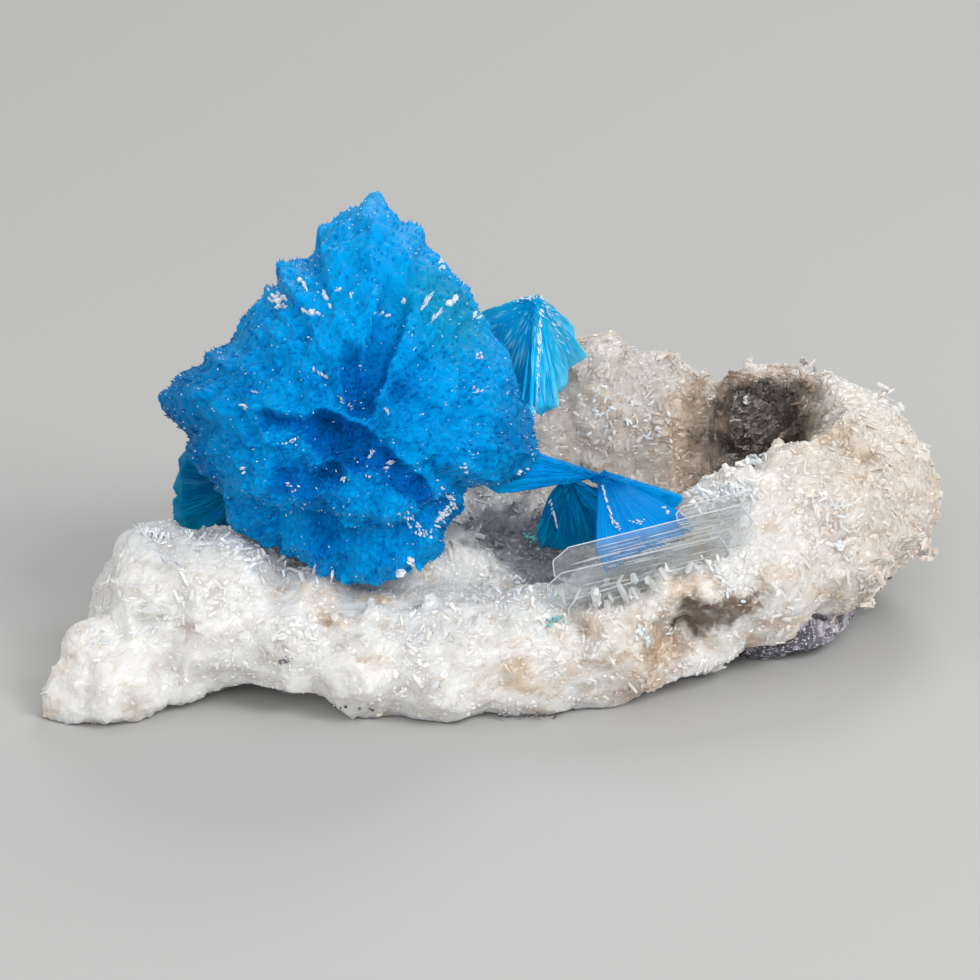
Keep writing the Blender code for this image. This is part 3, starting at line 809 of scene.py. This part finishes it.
SPRAY_FEET = {  # where a spray meets what carries it: middle and half sizes
    "rear_spray": ((1.95, -0.80, 12.3), (0.50, 0.40, 0.50)),
    "left_spray": ((-15.4, -2.28, 5.55), (0.45, 0.30, 0.45)),
}


def radiating(centre, far):
    """A texture of needles that radiate from a centre: grooves on a flank, grains on an end."""
    def texture(point):
        from_centre = point - centre / MM
        direction = from_centre.normalized()
        fine = 1 - 2 * abs(noise.noise(direction * 7 / NEEDLE_PITCH))
        broad = noise.noise(direction * 2.6 / NEEDLE_PITCH)
        reach = from_centre.length / far
        move = NEEDLE_RELIEF * (0.25 * fine + 0.9 * broad - 0.35)
        return move, reach + 0.10 * fine, 0.5 + 0.5 * broad
    return texture


def needles(mesh, centre, count, chance):
    """Places for fine blades that lie along the flanks of a spray and end at its tips.

    Each follows the line from the spray's centre through a place on its skin.
    """
    tree = skin_tree(mesh)
    areas = [face.area for face in mesh.polygons]
    places = []
    for face in chance.choices(mesh.polygons[:], areas, k=count):
        spot = face.center
        direction = (spot - centre).normalized()
        end = tree.ray_cast(centre + direction * FAR_OUT * MM, -direction)[0]
        if end is None:
            continue
        reach = (end - centre).length
        here = (spot - centre).length
        stop = here + (reach - here) * chance.random() ** 0.7
        stop = stop + chance.uniform(0.0, 0.15) * MM
        start = max(stop - chance.uniform(*NEEDLE_LENGTH) * MM, 0.1 * MM)
        facing = face.normal - direction * face.normal.dot(direction)
        if facing.length < 0.35:
            facing = direction.orthogonal()
        facing = (facing.normalized() + 0.25 * any_way(chance)).normalized()
        lift = face.normal * 0.02 * MM
        root, tip = centre + direction * start + lift, inside_box(centre + direction * stop + lift)
        width = chance.uniform(*NEEDLE_WIDTH) * MM
        thickness = chance.uniform(*NEEDLE_THICKNESS) * MM
        places.append((blade_place(root, tip, width, thickness, facing), chance.random()))
    return places


def arm_leaf(right, up):
    """The arm's wide fan has an upright left side, and it narrows to a point at the right."""
    if right < 5.7 and up < 0.45 - 0.2 * (5.7 - right):
        right = 5.7 + 0.12 * (right - 5.7)
    ceiling = 1.06 - 0.333 * (right - 5.84)
    if right > 5.84 and up > ceiling:
        up = ceiling + 0.1 * (up - ceiling)
    return right, up


def hollow_fan(right, up):
    """The fan in the hollow opens to the right, below its apex."""
    share = min(max((0.8 - up) / 2.5, 0.0), 1.0)
    wide = 3.2 + (right - 3.2) * (2.0 if right > 3.2 else 0.52)
    return right + share * (wide - right), up


def as_seen(obj, form):
    """Moves a skin by a function of how far right and up each place is seen."""
    for vertex in obj.data.vertices:
        point = vertex.co / MM - CENTRED - Vector(VIEW_MIDDLE)
        right, up = point.x, point.dot(seen(0, 1, 0))
        moved = form(right, up)
        vertex.co += seen(moved[0] - right, moved[1] - up, 0) * MM


spray_bodies, finish_of = {}, {}
for number, (name, apex, skin, far, count, slot, shades) in enumerate(SPRAYS):
    words = name.replace("_", " ") + " cavansite"
    finishes = [
        cavansite(words + part, glow, place(apex), *shades)
        for part, glow in (("", CAVANSITE_GLOW), (" blades", 0.0))
    ]
    foot = grown_balls([SPRAY_FEET[name]]) if name in SPRAY_FEET else None
    body = fine_skinned(name + "_body", "cavansite_" + name, skin, foot)
    if name == "arm_spray":
        as_seen(body, arm_leaf)
    if name == "hollow_spray":
        as_seen(body, hollow_fan)
    chance = random.Random(40 + number)
    lines = needles(body.data, place(apex), count, chance)
    textured(body, radiating(place(apex), far))
    for obj, finish in zip((body, bed_of_blades(name + "_blades", lines)), finishes):
        carries(obj, finish, "cavansite_" + name)
    spray_bodies[name] = body
    finish_of[name] = finish

chance = random.Random(47)
fan = []
for _ in range(ARM_FAN_BLADES):
    share = chance.random()
    edge = Vector(ARM_FAN_EDGE[0]).lerp(Vector(ARM_FAN_EDGE[1]), share)
    tip = place(edge) + any_way(chance) * 0.12 * MM
    root = place((ARM_FAN_APEX[0] + 0.5 * share, *ARM_FAN_APEX[1:]))
    tip = root.lerp(tip, chance.uniform(0.92, 1.0))
    wide, thick = chance.uniform(*ARM_FAN_WIDTH) * MM, chance.uniform(*ARM_FAN_THICKNESS) * MM
    fan.append((blade_place(root, tip, wide, thick, Vector((0.1, -0.8, 0.6))), chance.random()))
arm_fan = bed_of_blades("arm_fan", fan)
carries(arm_fan, finish_of["arm_spray"], "cavansite_arm_spray")


# The clear stilbite tablets
# Long, flat, colourless crystals that lie side by side along the front ridge, over the wide end
# of the bow tie. They are see-through, with growth lines along them and milky crystals below.
# Their bevelled edges and growth lines are milky white, partly frosted and partly painted
# highlight.
TABLETS = (  # from, to, width and thickness of each, the hindmost first
    ((13.6, -7.0, 8.7), (3.2, -9.6, 7.0), 2.0, 0.30),
    ((12.4, -8.1, 7.4), (2.9, -10.4, 6.0), 1.9, 0.30),
    ((11.0, -9.2, 6.4), (4.0, -11.0, 5.0), 1.7, 0.28),
    ((13.6, -6.2, 9.5), (9.6, -7.3, 8.9), 1.2, 0.28),
)
MILKY_COLUMNS = 44
MILKY_ROW = ((3.9, -10.8, 5.9), (10.4, -9.5, 6.9))
MILKY_WIDTH = (0.15, 0.50)
MILKY_THICKNESS = (0.12, 0.35)
GROWTH_LINES = 120
TABLET_FACING = Vector((-0.1, -0.93, 0.4)).normalized()
TABLET_EDGE = 0.05
TABLET_TINT = (0.80, 0.92, 0.97)
TABLET_DENSITY = 160.0
TABLET_CORNERS = (  # of a tablet of unit size, on its flat side
    (0, 0), (0.5, 0.07), (0.5, 0.92), (0.15, 1), (-0.25, 0.99), (-0.5, 0.9), (-0.5, 0.04),
)


def absorbing(tree):
    """Gives a finish the absorption of clear stilbite."""
    body = wire(tree, "VolumeAbsorption", {"Color": (*TABLET_TINT, 1), "Density": TABLET_DENSITY})
    tree.links.new(body.outputs["Volume"], tree.nodes["Material Output"].inputs["Volume"])


bm = bmesh.new()
for root, tip, wide, thick in TABLETS:
    corners = [bm.verts.new((across, 0, along)) for across, along in TABLET_CORNERS]
    face = bm.faces.new(corners)
    grown = bmesh.ops.extrude_face_region(bm, geom=[face])["geom"]
    grown = [part for part in grown if isinstance(part, bmesh.types.BMVert)]
    bmesh.ops.translate(bm, verts=grown, vec=(0, 1, 0))
    tablet = corners + grown
    where = blade_place(place(root), place(tip), wide * MM, thick * MM, TABLET_FACING)
    bmesh.ops.transform(bm, matrix=where @ Matrix.Translation((0, -0.5, 0)), verts=tablet)
    edges = dict.fromkeys(edge for corner in tablet for edge in corner.link_edges)
    bmesh.ops.bevel(
        bm,
        geom=list(edges),
        offset=TABLET_EDGE * MM,
        affect="EDGES",
        segments=1,
        profile=0.5,
        material=1,
        clamp_overlap=True,
    )
bmesh.ops.recalc_face_normals(bm, faces=bm.faces)
for vertex in bm.verts:
    vertex.co = inside_box(vertex.co)
tablets = piece("clear_tablets", bm)
clear_finish, tree, shader, where = new_finish("clear stilbite")
lengthwise = wire(tree, "Mapping", {"Vector": where, "Rotation": (0.0, 0.154, 0.262)}).outputs[0]
stretched = wire(tree, "VectorMath", {0: lengthwise, 1: (0.06, 1.0, 1.0)}, operation="MULTIPLY")
growth = grain(tree, stretched.outputs[0], 0.16, 3)
fill(tree, shader, {
    "Base Color": (0.96, 0.985, 1.0, 1),
    "Roughness": 0.05,
    "IOR": 1.45,
    "Transmission Weight": 0.95,
    "Normal": relief(tree, growth, 0.006),
})
absorbing(tree)
# Milky edges and growth lines: partly frosted stilbite, partly painted highlights.
milky_highlight_finish, tree, shader, where = new_finish("milky crystal edge and painted highlight")
fill(tree, shader, {
    "Base Color": (0.86, 0.90, 0.92, 1),
    "Roughness": 0.25,
    "IOR": 1.5,
    "Transmission Weight": 0.35,
})
absorbing(tree)
milky_finish, tree, shader, where = new_finish("milky stilbite")
cloudy = between(tree, grain(tree, where, 0.5, 3), 0.35, 0.65)
fill(tree, shader, {
    "Base Color": tinted(tree, cloudy, (0.78, 0.80, 0.82), (0.86, 0.85, 0.83)),
    "Roughness": 0.28,
    "IOR": 1.5,
    "Transmission Weight": 0.55,
    "Normal": relief(tree, grain(tree, where, 0.2, 3), 0.03),
})
tablets.data.materials.append(clear_finish)
tablets.data.materials.append(milky_highlight_finish)
chance = random.Random(48)
columns = []
for _ in range(MILKY_COLUMNS):
    root = Vector(MILKY_ROW[0]).lerp(Vector(MILKY_ROW[1]), chance.random())
    root += 0.7 * any_way(chance) + Vector((0.0, 0.4, 0.0))
    down = Vector((chance.uniform(-1.2, 1.2), -1.3, chance.uniform(-2.1, -0.5)))
    tip = root + down * chance.uniform(0.2, 0.6)
    wide, thick = chance.uniform(*MILKY_WIDTH) * MM, chance.uniform(*MILKY_THICKNESS) * MM
    facing = TABLET_FACING + 0.7 * any_way(chance)
    columns.append((blade_place(place(root), place(tip), wide, thick, facing), 1))
milky = bed_of_blades("milky_columns", columns)
milky.data.materials.append(milky_finish)
lines = []
for _ in range(GROWTH_LINES):
    root, tip, wide, thick = chance.choice(TABLETS)
    root, tip = Vector(root), Vector(tip)
    across = TABLET_FACING.cross(tip - root).normalized() * wide * chance.uniform(-0.42, 0.42)
    start = chance.uniform(0.03, 0.75)
    end = min(start + chance.uniform(0.05, 0.35), 0.95)
    across += TABLET_FACING * thick * 0.5
    ends = [place(root.lerp(tip, share) + across) for share in (start, end)]
    lines.append((blade_place(*ends, chance.uniform(0.02, 0.05) * MM, 0.02 * MM, TABLET_FACING), 1))
growth_lines = bed_of_blades("growth_lines", lines)
growth_lines.data.materials.append(milky_highlight_finish)
for obj in (tablets, milky, growth_lines):
    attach(obj, "root")
    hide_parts("stilbite_clear_tablets")


# The small clear crystals and painted glints
# Sparkling stilbite grains settled all over the rosette, which also stand in as painted glints.
# Bright groups and needles stand on the blue and out of the druse where the photograph shows them,
# partly white crystals and partly painted highlights, with a few dark and teal specks.
GLINT_GRAINS = 1100
GRAIN_LENGTH = (0.06, 0.18)
GRAIN_WIDTH = (0.04, 0.09)
# Partly small white crystals, partly painted glints on the blue.
BRIGHT_ON_ROSETTE = (  # between two places in the picture, with spread, count, length, width
    ((268, 300), (286, 300), 8, 22, 0.48, 0.31),
    ((301, 282), (308, 294), 3, 7, 0.48, 0.26),
    ((324, 293), (331, 309), 1.5, 7, 0.66, 0.21),
    ((301, 311), (319, 314), 2, 10, 0.48, 0.29),
    ((338, 290), (350, 296), 5, 8, 0.30, 0.16),
    ((369, 312), (389, 317), 3, 6, 0.36, 0.18),
    ((402, 300), (404, 303), 3, 6, 0.36, 0.18),
    ((420, 313), (430, 296), 2, 7, 1.20, 0.16),
    ((446, 305), (457, 299), 2.5, 13, 0.60, 0.26),
    ((430, 322), (444, 310), 2, 8, 1.08, 0.12),
    ((441, 262), (443, 272), 4, 7, 0.36, 0.18),
    ((470, 314), (486, 318), 4, 7, 0.60, 0.16),
    ((312, 371), (330, 380), 1, 8, 0.84, 0.18),
    ((338, 395), (351, 410), 2, 10, 1.08, 0.16),
    ((386, 411), (388, 415), 2, 5, 0.48, 0.21),
    ((468, 388), (476, 392), 3, 6, 0.60, 0.16),
    ((478, 356), (479, 358), 4, 6, 0.30, 0.16),
    ((514, 371), (515, 371), 1, 3, 0.36, 0.26),
    ((284, 447), (297, 439), 4, 10, 0.36, 0.18),
    ((368, 457), (374, 450), 2.5, 10, 0.42, 0.20),
    ((366, 476), (373, 476), 1, 4, 0.60, 0.18),
    ((384, 470), (389, 462), 1, 2, 1.32, 0.52),
    ((343, 477), (344, 480), 2, 6, 0.42, 0.26),
    ((241, 467), (246, 470), 3, 6, 0.60, 0.16),
    ((240, 404), (247, 410), 3, 6, 0.48, 0.16),
    ((253, 394), (256, 394), 2, 3, 0.60, 0.13),
    ((290, 484), (296, 488), 4, 7, 0.36, 0.18),
    ((518, 472), (534, 476), 3, 8, 0.42, 0.16),
    ((463, 465), (465, 470), 3, 6, 0.42, 0.16),
    ((403, 512), (424, 535), 7, 34, 0.42, 0.16),
    ((433, 522), (455, 506), 4, 28, 0.48, 0.16),
    ((439, 485), (454, 500), 5, 14, 0.42, 0.13),
    ((334, 570), (334, 594), 1.5, 6, 1.20, 0.16),
    ((314, 567), (317, 572), 3, 7, 0.48, 0.26),
    ((408, 559), (414, 565), 3, 8, 0.42, 0.26),
    ((395, 570), (402, 572), 2, 3, 0.84, 0.52),
)
# Painted highlights along the crest and edge of the rear spray, partly white needles.
BRIGHT_ON_REAR = (
    ((541, 306), (533, 420), 1.5, 110, 0.60, 0.06),
    ((515, 298), (548, 296), 3, 60, 0.30, 0.06),
    ((548, 305), (566, 350), 6, 30, 0.60, 0.04),
)
BRIGHT_ON_FAN = (
    ((602, 486), (613, 524), 1.2, 40, 0.60, 0.09),
    ((613, 521), (619, 528), 3, 12, 0.30, 0.12),
    ((632, 521), (645, 522), 3, 9, 0.25, 0.12),
    ((664, 508), (668, 512), 2, 6, 0.25, 0.12),
)
BRIGHT_ON_HOLLOW = (((551, 499), (557, 526), 1, 20, 0.60, 0.05),)
# Partly white crystals, partly painted highlights on the lit crests of the druse.
BRIGHT_ON_DRUSE = (
    ((140, 530), (166, 540), 6, 40, 0.60, 0.20),
    ((196, 508), (210, 516), 4, 24, 0.45, 0.24),
    ((185, 535), (320, 575), 12, 90, 0.70, 0.24),
    ((100, 640), (180, 600), 14, 40, 0.60, 0.14),
    ((745, 398), (746, 402), 3, 7, 0.40, 0.20),
    ((745, 462), (765, 458), 4, 20, 0.60, 0.28),
    ((800, 500), (860, 515), 14, 40, 0.80, 0.12),
    ((836, 543), (841, 547), 3, 6, 0.70, 0.30),
    ((638, 628), (650, 648), 5, 20, 0.40, 0.22),
    ((660, 600), (672, 640), 4, 12, 0.50, 0.14),
    ((700, 560), (745, 600), 9, 36, 0.60, 0.16),
    ((500, 590), (560, 600), 14, 34, 0.60, 0.20),
    ((560, 395), (680, 440), 20, 70, 0.50, 0.18),
    ((690, 500), (760, 490), 10, 70, 0.80, 0.24),
)
DARK_SPECKS = (
    ((272, 655), (292, 660), 4, 9, 0.22, 0.24),
    ((283, 690), (287, 690), 2, 4, 0.20, 0.22),
    ((230, 692), (380, 708), 2, 26, 0.20, 0.22),
    ((500, 711), (560, 711), 2, 16, 0.22, 0.26),
)
SPECK_CENTRE = (4.0, -9.0, 3.0)
SPECK_COLOURS = ((0.05, 0.30, 0.34), (0.10, 0.42, 0.44), (0.3, 0.6, 0.6))
TEAL_SPECKS = (
    ((545, 625), (568, 619), 3, 16, 0.35, 0.16),
    ((520, 535), (535, 545), 5, 16, 0.35, 0.20),
)
PICTURE_HALF = 490  # pixels
eye = camera.location
glitter_and_glint_finish, tree, shader, where = new_finish("sparkling stilbite and painted glints")
fill(tree, shader, {
    "Base Color": (0.93, 0.97, 1.0, 1),
    "Roughness": 0.08,
    "IOR": 1.5,
    "Transmission Weight": 0.35,
})


def behind_pixel(column, row, tree):
    """Where the line from the camera through that place in the picture meets a skin."""
    half = 0.5 * lens.sensor_width / lens.lens
    across, up = (column - PICTURE_HALF) / PICTURE_HALF, (PICTURE_HALF - row) / PICTURE_HALF
    towards = Vector((across * half, up * half, -1)).normalized()
    return tree.ray_cast(eye, camera.matrix_basis.to_3x3() @ towards)


def bright_crystals(groups, body, centre, lift, chance):
    """Places for bright crystals on a skin, as the picture shows them: partly small white crystals,
    partly painted glints and highlights.

    They grow away from a centre, or out of the skin where there is none.
    """
    tree = skin_tree(body.data)
    places = []
    for first, second, spread, count, length, width in groups:
        for _ in range(count):
            at = Vector(first).lerp(second, chance.random())
            at += Vector((chance.gauss(0, 0.5), chance.gauss(0, 0.5))) * spread
            spot, normal = behind_pixel(*at, tree)[:2]
            if spot is None:
                continue
            away = (spot - centre).normalized() if centre else 0.6 * any_way(chance)
            out = (away + 0.5 * normal + 0.25 * any_way(chance)).normalized()
            long = length * chance.uniform(0.5, 1.0) * MM
            wide = width * chance.uniform(0.6, 1.2) * MM
            root = spot + normal * lift * MM - out * 0.5 * long
            places.append((blade_place(root, root + out * long, wide, 0.5 * wide, normal), 1))
    return places


chance = random.Random(51)
grains = []
# Painted glints: tiny clear grains spread over the rosette, partly a real dust of crystals.
for face in chance.choices(rosette_body.data.polygons[:], k=GLINT_GRAINS):
    out = (face.normal + 0.8 * any_way(chance)).normalized()
    long = chance.uniform(*GRAIN_LENGTH) * MM
    wide = chance.uniform(*GRAIN_WIDTH) * MM
    tip = face.center + out * 0.7 * long
    root = face.center - out * 0.3 * long
    grains.append((blade_place(root, tip, wide, 0.6 * wide, any_way(chance)), 1))
for groups, body, apex in (
    (BRIGHT_ON_ROSETTE, rosette_body, GROWTH_CENTRE),
    (BRIGHT_ON_REAR, spray_bodies["rear_spray"], SPRAYS[0][1]),
    (BRIGHT_ON_FAN, arm_fan, SPRAYS[1][1]),
    (BRIGHT_ON_HOLLOW, spray_bodies["hollow_spray"], SPRAYS[2][1]),
):
    grains += bright_crystals(groups, body, place(apex), 0.02, chance)
on_druse = bright_crystals(BRIGHT_ON_DRUSE, druse_body, None, 0.12, chance)
speck_finish = cavansite("pale teal specks", 0.0, place(SPECK_CENTRE), *SPECK_COLOURS)
dark = bright_crystals(DARK_SPECKS, druse_body, None, 0.22, chance)
teal = bright_crystals(TEAL_SPECKS, druse_body, None, 0.25, chance)
for name, places, finish, slot in (
    ("cavansite_glitter", grains, glitter_and_glint_finish, "clear_stilbite"),
    ("druse_glitter", on_druse, glitter_and_glint_finish, "clear_stilbite"),
    ("basalt_specks", dark, basalt_finish, "basalt"),
    ("cavansite_specks", teal, speck_finish, "teal_cavansite"),
):
    small = bed_of_blades(name, places)
    small.data.materials.append(finish)
    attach(small, "root")


# The floor and the light
# A plain pale floor. The main soft light comes from the right, in front and above, with weaker
# ones from the front, the left and the back, and an even pale surrounding.
FLOOR_SIZE = 3.0
FLOOR_COLOUR = (0.42, 0.42, 0.415)
LIT_MIDDLE = (0, 0, 8)
LIGHTS = (  # turn and height in degrees, distance and size in metres, power
    ("main light", 48, 42, 0.40, 0.16, 1.0),
    ("front light", -5, 28, 0.50, 0.26, 0.95),
    ("left light", -70, 30, 0.45, 0.25, 0.25),
    ("back light", 165, 40, 0.45, 0.15, 0.5),
)
SURROUNDINGS = ((0.90, 0.90, 0.89, 1), 0.58)  # their colour and strength
bm = bmesh.new()
bmesh.ops.create_grid(bm, x_segments=1, y_segments=1, size=FLOOR_SIZE / 2)
floor = piece("floor", bm)
floor_finish, tree, shader, where = new_finish("pale floor")
fill(tree, shader, {"Base Color": (*FLOOR_COLOUR, 1), "Roughness": 0.7})
floor.data.materials.append(floor_finish)


def soft_light(name, turn, height, distance, size, power):
    """A square soft light that faces the specimen."""
    lamp = bpy.data.lights.new(name, "AREA")
    lamp.size = size
    lamp.energy = power
    obj = bpy.data.objects.new(name, lamp)
    turn, height = math.radians(turn), math.radians(height)
    away = Vector((
        math.sin(turn) * math.cos(height),
        -math.cos(turn) * math.cos(height),
        math.sin(height),
    ))
    obj.location = place(LIT_MIDDLE) + away * distance
    obj.rotation_euler = away.to_track_quat("Z", "Y").to_euler()
    bpy.context.scene.collection.objects.link(obj)


for light in LIGHTS:
    soft_light(*light)
world = bpy.data.worlds.new("pale surroundings")
world.use_nodes = True
background = world.node_tree.nodes["Background"]
background.inputs["Color"].default_value, background.inputs["Strength"].default_value = SURROUNDINGS
bpy.context.scene.world = world
